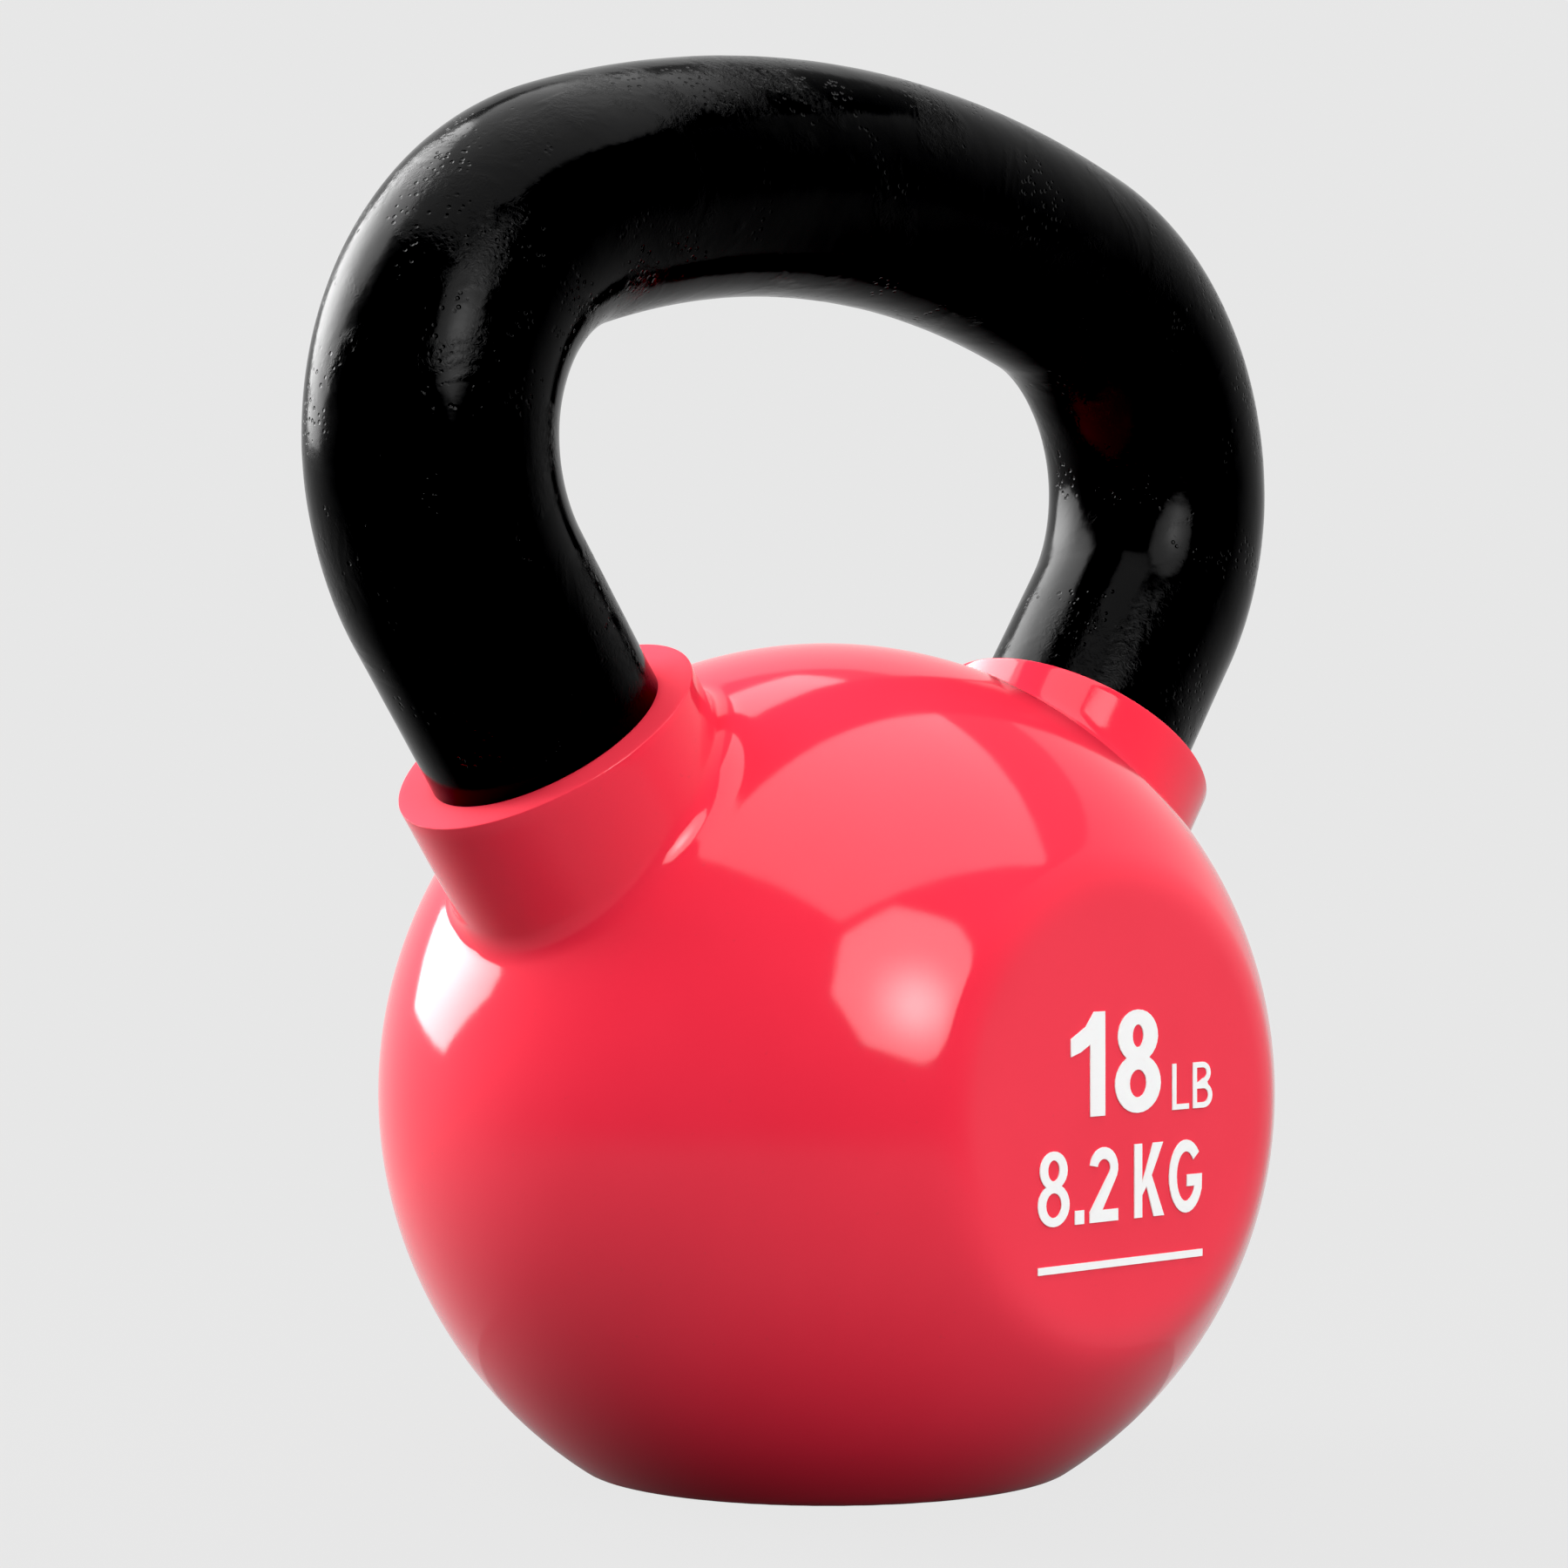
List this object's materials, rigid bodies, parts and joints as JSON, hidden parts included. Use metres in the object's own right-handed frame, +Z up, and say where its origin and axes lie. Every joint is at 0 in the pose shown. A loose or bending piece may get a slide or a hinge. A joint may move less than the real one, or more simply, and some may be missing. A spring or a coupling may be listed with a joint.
{
  "type": "kettlebell",
  "caption": "Kettlebell: solid iron ball and looped handle in one casting, black enamel on the handle, red dipped vinyl round the ball, flat resting base.",
  "frame": {"origin": "middle of the flat resting face under the ball", "axes": "+Z up through the middle of the ball, +X along the handle's top bar, -Y out of the printed front flat"},
  "size_m": [0.1822, 0.1118, 0.2024],
  "materials": {
    "cast_iron": "rough grey iron, hidden under the coatings",
    "black_enamel": "glossy black baked enamel",
    "red_vinyl": "smooth satin-gloss dipped vinyl",
    "white_ink": "flat screen-printed ink"
  },
  "bodies": {
    "root": {"iron_casting": "cast_iron", "handle_enamel": "black_enamel", "vinyl_jacket": "red_vinyl", "ink_weight_1": "white_ink", "ink_weight_8": "white_ink", "ink_unit_l": "white_ink", "ink_unit_b": "white_ink", "ink_metric_8": "white_ink", "ink_metric_point": "white_ink", "ink_metric_2": "white_ink", "ink_metric_k": "white_ink", "ink_metric_g": "white_ink", "ink_rule": "white_ink"}
  },
  "joints": []
}
